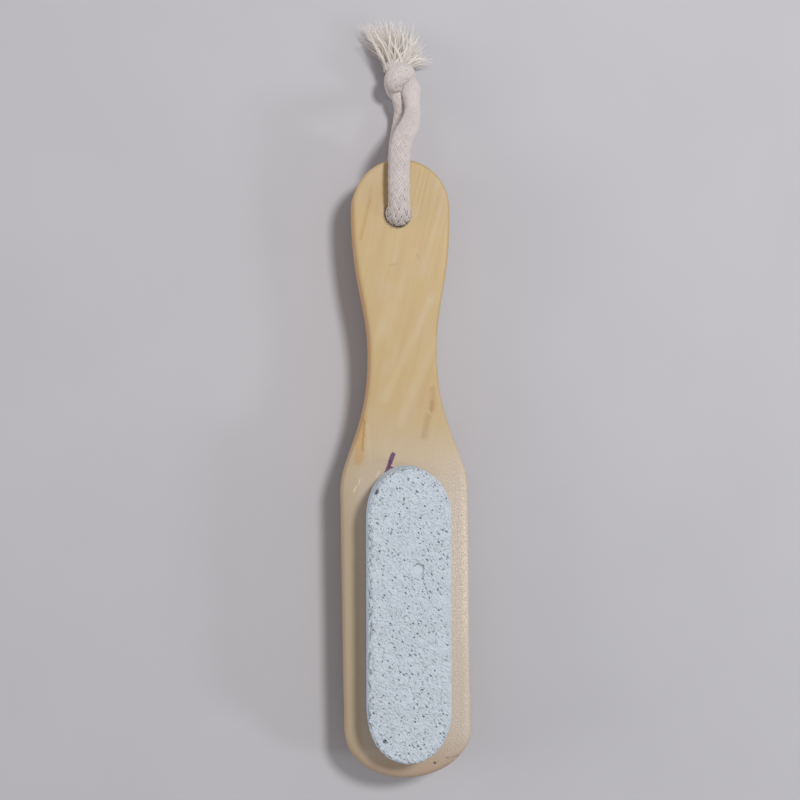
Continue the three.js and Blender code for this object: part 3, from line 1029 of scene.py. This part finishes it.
def stroke_group():
    """A soft mark on an upper face between two places, in mm, with an uneven edge."""
    inputs = {name: "Vector" for name in ("Place", "Start", "End")}
    for name in ("Half Width", "Softness", "Ragged", "Lowest"):
        inputs[name] = "Float"
    nodes, given, outputs = shader_group("Stroke", inputs, ["Mask"])
    flat = given["Place"] * (1.0, 1.0, 0.0)
    way = given["End"] - given["Start"]
    gone = flat - given["Start"]
    share = nodes.vector("DOT_PRODUCT", gone, way) / nodes.vector("DOT_PRODUCT", way, way)
    nearest = given["Start"] + way * share.at_least(0.0).at_most(1.0)
    away = nodes.vector("DISTANCE", flat, nearest)
    uneven = nodes.noise(given["Place"], 1.1, 3.0) - 0.5
    away = uneven * given["Ragged"] + away
    edge = given["Half Width"] + given["Softness"]
    _, _, height = nodes.parts(given["Place"])
    mask = nodes.span(away, edge, given["Half Width"]) * (height > given["Lowest"])
    nodes.join(mask, outputs["Mask"])
    return nodes.tree


def fibre_group():
    """Fine lines along a strand, as a shade and a height, with a different shade for each one."""
    inputs = {name: "Float" for name in ("Along", "Across", "Strand", "Fineness")}
    nodes, given, outputs = shader_group("Fibres", inputs, ["Shade", "Height"])
    along, strand = given["Along"], given["Strand"]
    lines = nodes.combined(along * 900.0, given["Across"] * given["Fineness"], strand * 4.7)
    height = nodes.noise(lines, 1.0, 3.0, 0.6)
    slow = nodes.noise(nodes.combined(along * 160.0, 0.0, strand * 2.3), 1.0, 1.0)
    nodes.join(nodes.span(slow * 0.5 + height * 0.5, 0.3, 0.7), outputs["Shade"])
    nodes.join(height, outputs["Height"])
    return nodes.tree


def mottle_group():
    """Soft clouds and fine specks of two sizes over a surface, each from 0 to 1."""
    inputs = {"Place": "Vector", "Cloud Size": "Float", "Speck Size": "Float"}
    nodes, given, outputs = shader_group("Mottle", inputs, ["Cloud", "Speck"])
    for name in ("Cloud", "Speck"):
        field = nodes.noise(given["Place"] * (1.0 / given[name + " Size"]))
        nodes.join(nodes.span(field, 0.3, 0.7), outputs[name])
    return nodes.tree


def mottled(nodes, group, place, cloud_size, speck_size):
    inputs = {"Place": place, "Cloud Size": cloud_size, "Speck Size": speck_size}
    return nodes.group(group, inputs)


def strand_fibres(nodes, group, fineness):
    inputs = {name: held_value(nodes, name.lower()) for name in ("Along", "Across", "Strand")}
    return nodes.group(group, {**inputs, "Fineness": fineness})


# Materials.


def cotton_material(name, fibres, light, dark, fineness, cover, lines):
    made, nodes, shader = new_material(
        name, Roughness=0.95, Sheen_Weight=0.25, Sheen_Roughness=0.6, Alpha=cover
    )
    shade, height = strand_fibres(nodes, fibres, fineness)
    base = nodes.tint(shade, dark, light)
    # Painted shade: dark lines are painted in the grooves, down the middle of a strand and along
    # its edges, where shade falls between the yarns. Towards the knot the cotton is felted and
    # paler, and they fade.
    place = object_place(nodes)
    _, along, _ = nodes.parts(place)
    base = nodes.tint(nodes.span(along, 120.0, 136.0, 0.0, 0.4), base, light)
    across = abs(held_value(nodes, "across"))
    line = nodes.span(abs((across * math.pi).cos()), 0.85, 1.0)
    line = line * nodes.span(along, 112.0, 128.0, lines, 0.25 * lines)
    # They come and go along the cord, and the one down the middle is the weaker.
    line = line * nodes.span(nodes.noise(place, 0.5), 0.36, 0.6, 0.45, 2.1)
    line = line * nodes.span(across, 0.3, 0.7, 0.5, 1.0)
    nodes.join(nodes.tint(line, base, colour(122, 106, 100)), shader["Base Color"])
    nodes.join(bump(nodes, height, 0.5, 0.12 * MM), shader["Normal"])
    return made


def bristle_material(fibres):
    made, nodes, shader = new_material("pale_bristle", Roughness=0.5)
    shade, _ = strand_fibres(nodes, fibres, 3.0)
    base = nodes.tint(shade, colour(206, 190, 158), colour(232, 221, 196))
    nodes.join(base, shader["Base Color"])
    return made


def pumice_material(mottle):
    made, nodes, shader = new_material("pale_pumice", Roughness=1.0, Specular_IOR_Level=0.2)
    place = held_value(nodes, "rest_place", "Vector") * PER_MM
    wall = held_value(nodes, "wall")
    deep, small = all_pits(nodes, place)
    cloud, speck = mottled(nodes, mottle, place, 4.5, 0.5)
    base = nodes.tint(cloud, colour(206, 215, 224), colour(214, 223, 232))
    # Painted light: the sides are painted paler than the upper face, so they look as bright as it
    # though less light falls on them.
    base = nodes.tint(wall, base, colour(222, 235, 248))
    base = nodes.tint(speck * 0.2, base, colour(180, 190, 199))
    on_bump = disc(nodes, place, STONE_BUMP, STONE_BUMP_RADIUS)
    base = nodes.tint(on_bump * 0.7, base, colour(190, 200, 208))
    # Painted shade: the pits, the chip, the wide pit and the groove beside the bump are painted
    # dark where shade falls in them, and the crumbled rims are painted dark too.
    base = nodes.tint(small * 0.65, base, colour(124, 135, 146))
    base = nodes.tint(deep * 0.95, base, colour(60, 70, 82))
    broken = held_value(nodes, "crumbled") * nodes.span(wall, 0.2, 1.0, 0.75, 0.5)
    nodes.join(nodes.tint(broken, base, colour(86, 97, 109)), shader["Base Color"])
    grain = nodes.noise(drawn_out(nodes, place) * (1.5, 1.0, 1.0), 1.25, 3.0, 0.6)
    grain = grain * off_bump(nodes, place)
    relief = grain * 2.1 - (small * 0.35 + deep * 0.6)
    nodes.join(bump(nodes, relief, 1.0, 0.6 * MM), shader["Normal"])
    return made


# The marks lie on the upper face only, above this height.
MARKS_ABOVE = 19.0
# Single marks on the wood: both ends, half width, softness, raggedness, strength and colour.
WOOD_MARKS = (
    # A dark growth line beside the hole.
    ((-11.2, 104.0), (-11.7, 99.5), 0.1, 0.9, 0.6, 0.25, (170, 134, 70)),
    ((-11.7, 99.5), (-15.2, 85.6), 0.1, 0.9, 0.6, 0.5, (170, 132, 60)),
    # Pale diagonal bands across the neck.
    ((10.1, 62.9), (-7.2, 26.3), 0.2, 2.2, 2.0, 0.26, (203, 183, 153)),
    ((4.0, 80.0), (-9.0, 50.0), 0.5, 3.5, 2.0, 0.25, (198, 174, 136)),
    ((12.0, 48.0), (-2.0, 18.0), 0.3, 2.6, 2.0, 0.25, (200, 179, 148)),
    # An amber streak on the left shoulder, with a darker line beside it.
    ((-15.9, 20.0), (-17.3, 4.0), 0.5, 2.2, 2.4, 0.6, (186, 144, 80)),
    ((-14.9, 19.0), (-15.8, 8.0), 0.05, 0.8, 1.0, 0.5, (150, 108, 60)),
    ((-13.8, 17.0), (-13.0, 3.0), 0.05, 0.9, 0.9, 0.2, (206, 188, 160)),
    # A brown smudge on the right of the neck.
    ((10.9, 29.9), (10.5, 22.5), 0.1, 2.2, 2.6, 0.42, (166, 126, 66)),
    ((10.4, 25.2), (9.9, 22.4), 0.1, 1.1, 1.4, 0.36, (150, 110, 62)),
    ((8.8, 19.8), (7.2, 12.6), 0.1, 2.2, 2.6, 0.38, (160, 124, 74)),
    # Faint scuffs under the hole.
    ((5.6, 79.8), (6.1, 78.4), 0.05, 0.7, 0.8, 0.26, (150, 122, 80)),
    ((-4.8, 75.9), (-2.2, 76.3), 0.05, 0.6, 0.9, 0.26, (150, 122, 80)),
    # Small pale scratches on the left of the head.
    ((-19.3, -7.2), (-18.3, -5.3), 0.05, 0.35, 0.3, 0.6, (226, 214, 196)),
    ((-17.4, -4.6), (-16.9, -2.8), 0.05, 0.3, 0.3, 0.55, (226, 214, 196)),
    ((-10.8, -2.1), (-9.7, 0.0), 0.05, 0.3, 0.3, 0.55, (226, 214, 196)),
    # A pin knot and a scuff near the tip.
    ((9.25, -109.2), (9.4, -109.2), 0.25, 0.35, 0.3, 0.9, (70, 52, 40)),
    ((13.7, -107.6), (18.2, -107.0), 0.05, 0.5, 1.6, 0.5, (130, 104, 84)),
    # Painted shade: dark brown round the rim of the cord hole and down its upper wall, most of it
    # on its left.
    ((-1.3, 94.5), (-1.3, 94.5), 4.8, 0.35, 0.7, 0.8, (98, 72, 50)),
    ((-1.7, 94.3), (-1.7, 94.3), 4.9, 0.5, 0.9, 0.5, (98, 72, 50)),
    # A purple pen stroke that runs under the block.
    ((-4.5, 6.1), (-5.6, 3.4), 0.72, 0.3, 0.7, 0.92, (90, 46, 86)),
    ((-5.6, 3.4), (-7.4, -1.0), 0.5, 0.35, 0.8, 0.92, (90, 46, 86)),
    ((-6.1, 1.9), (-4.7, 0.9), 0.4, 0.3, 0.5, 0.85, (90, 46, 86)),
)


def wood_material(stroke, mottle):
    made, nodes, shader = new_material("varnished_wood", Specular_IOR_Level=0.45)
    place = object_place(nodes)
    across, along, height = nodes.parts(place)
    # The grain leans to the left towards the head.
    lean = nodes.math("SMOOTH_MAX", along - 5.0, 0.0, 40.0)
    straight = lean * -0.26 + across
    broad = nodes.combined(straight * 0.16, along * 0.022, height * 0.08)
    broad = nodes.noise(broad, 1.0, 3.0)
    fine = nodes.combined(straight * 1.1, along * 0.03, height * 1.1)
    fine = nodes.noise(fine, 1.0, 4.0, 0.6)
    cloud, speck = mottled(nodes, mottle, place, 8.0, 0.55)
    is_head = nodes.span(along, 35.0, -15.0)
    is_low = nodes.span(along, 20.0, -28.0)
    is_right = is_low * nodes.span(across, 2.0, 20.0)
    # Painted highlights: pale specks are painted on the right of the head as the varnish's glints,
    # brightest along the rim and the shoulder.
    is_rim = nodes.span(across, 19.8, 21.2) * nodes.span(across, 23.2, 22.4)
    painted_highlight = nodes.span(is_rim * 0.25 + speck, 0.55, 0.9)
    specks = painted_highlight * (is_right * nodes.span(along, -78.0, -48.0, 0.35, 1.0))
    base = nodes.tint(nodes.span(broad, 0.3, 0.7), colour(186, 158, 114), colour(191, 167, 131))
    tints = (
        (cloud * 0.7, (187, 160, 108)),
        (nodes.span(fine, 0.4, 0.75, 0.0, 0.05), (160, 130, 88)),
        # Painted sheen: the head is painted greyer than the handle, pinker away from its left rim,
        # and paler still on its right.
        (is_head * 0.8, (191, 177, 156)),
        (is_low * nodes.span(across, -20.0, -15.0) * 0.55, (186, 169, 161)),
        (is_low * nodes.span(across, -16.0, -19.5) * 0.5, (164, 143, 114)),
        (is_right * 0.6, (209, 193, 177)),
        (specks * 0.65, (238, 222, 204)),
        # Painted shade: the tip is painted darker and browner, where the block's shadow falls.
        (nodes.span(along, -96.0, -113.0, 0.0, 0.55), (160, 130, 98)),
        # Painted light: the side walls of the handle are painted redder and brighter, so they look
        # lit though they face away from the lamps.
        (
            nodes.span(height, 21.9, 19.5) * nodes.span(is_head, 0.0, 1.0, 0.7, 0.3),
            (214, 160, 110),
        ),
    )
    for share, paint in tints:
        base = nodes.tint(share, base, colour(*paint))
    for start, end, half_width, softness, ragged, strength, paint in WOOD_MARKS:
        inputs = {"Place": place, "Start": (*start, 0.0), "End": (*end, 0.0)}
        inputs |= {"Half Width": half_width, "Softness": softness, "Ragged": ragged}
        (mask,) = nodes.group(stroke, {**inputs, "Lowest": MARKS_ABOVE})
        base = nodes.tint(mask * strength, base, colour(*paint))
    nodes.join(base, shader["Base Color"])
    # The varnish is glossier and more pebbled on the right of the head.
    gloss = nodes.span(fine, 0.3, 0.75, 0.44, 0.56) + is_right * -0.24
    nodes.join(gloss, shader["Roughness"])
    relief = fine * 0.05 + speck * (is_right * 0.9 + 0.1)
    nodes.join(bump(nodes, relief, 0.8, 0.18 * MM), shader["Normal"])
    return made


def adhesive_material(mottle):
    made, nodes, shader = new_material("clear_adhesive")
    cloud, speck = mottled(nodes, mottle, object_place(nodes), 2.0, 0.4)
    base = nodes.tint(cloud, colour(206, 190, 148), colour(228, 216, 182))
    nodes.join(base, shader["Base Color"])
    nodes.join(nodes.span(speck, 0.0, 1.0, 0.35, 0.6), shader["Roughness"])
    nodes.join(bump(nodes, cloud, 0.4, 0.2 * MM), shader["Normal"])
    return made


def dress_adhesive(adhesive):
    """The glue under the block keeps its CAD shape."""
    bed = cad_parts["adhesive_bed"]
    bed.data.materials.clear()
    bed.data.materials.append(adhesive)


# Stage and light.

FLOOR_REACH = 2.0


def add_stage(mottle):
    mesh = bpy.data.meshes.new("floor")
    corners = [(-1, -1), (1, -1), (1, 1), (-1, 1)]
    places = [(x * FLOOR_REACH, y * FLOOR_REACH, 0) for x, y in corners]
    mesh.from_pydata(places, [], [(0, 1, 2, 3)])
    floor = bpy.data.objects.new("floor", mesh)
    bpy.context.scene.collection.objects.link(floor)
    made, nodes, shader = new_material("pale_floor", Roughness=0.95)
    cloud, _ = mottled(nodes, mottle, object_place(nodes), 60.0, 1.0)
    base = nodes.tint(cloud, colour(187, 185, 189), colour(189, 187, 191))
    nodes.join(base, shader["Base Color"])
    mesh.materials.append(made)


AMBIENT = 0.33
# Each lamp: its place, what it points at, its size, its power and its colour.
LAMPS = {
    "key": ((0.28, 0.33, 0.9), (0.0, 0.0, 0.0), 0.18, 5.7, (1.0, 1.0, 1.0)),
    "window": ((1.0, -0.3, 0.62), (0.0, -0.05, 0.02), 0.22, 2.4, (0.9, 0.95, 1.0)),
    "room": ((-1.2, 0.1, 0.4), (0.0, 0.0, 0.02), 0.8, 4.5, (1.0, 0.96, 0.97)),
}


def add_light():
    world = bpy.data.worlds.new("soft room")
    world.use_nodes = True
    background = next(node for node in world.node_tree.nodes if node.type == "BACKGROUND")
    background.inputs["Color"].default_value = (1.0, 1.0, 1.0, 1.0)
    background.inputs["Strength"].default_value = AMBIENT
    bpy.context.scene.world = world
    for name, (place, aim, size, power, tone) in LAMPS.items():
        lamp = bpy.data.lights.new(name, "AREA")
        lamp.shape = "DISK"
        lamp.size = size
        lamp.energy = power
        lamp.color = tone
        holder = bpy.data.objects.new(name, lamp)
        holder.location = place
        away = Vector(place) - Vector(aim)
        holder.rotation_euler = away.to_track_quat("Z", "Y").to_euler()
        bpy.context.scene.collection.objects.link(holder)


# The brush, piece by piece.

fibres, stroke, mottle = fibre_group(), stroke_group(), mottle_group()
add_camera()
add_stage(mottle)
add_light()
bpy.context.scene.view_settings.view_transform = "Standard"

# Each cotton: its light and its dark colour, its fineness, its cover and the strength of its
# painted groove shade.
cotton = cotton_material(
    "undyed_cotton", fibres, colour(211, 201, 199), colour(194, 183, 181), 6.0, 1.0, 0.5
)
thread = cotton_material(
    "cotton_thread", fibres, colour(254, 246, 238), colour(244, 233, 223), 3.5, 0.3, 0.0
)
braid = braid_tree()
cord, cord_path, cord_length = hang_cord(braid, cotton)
knot = cord_knot(braid, cotton)
fray = frayed_ends(thread)

tufts = tuft_place_group()
wooden_paddle(tufts, wood_material(stroke, mottle))
bristle_rows(tufts, bristle_material(fibres))
pumice_block(pumice_material(mottle))
dress_adhesive(adhesive_material(mottle))
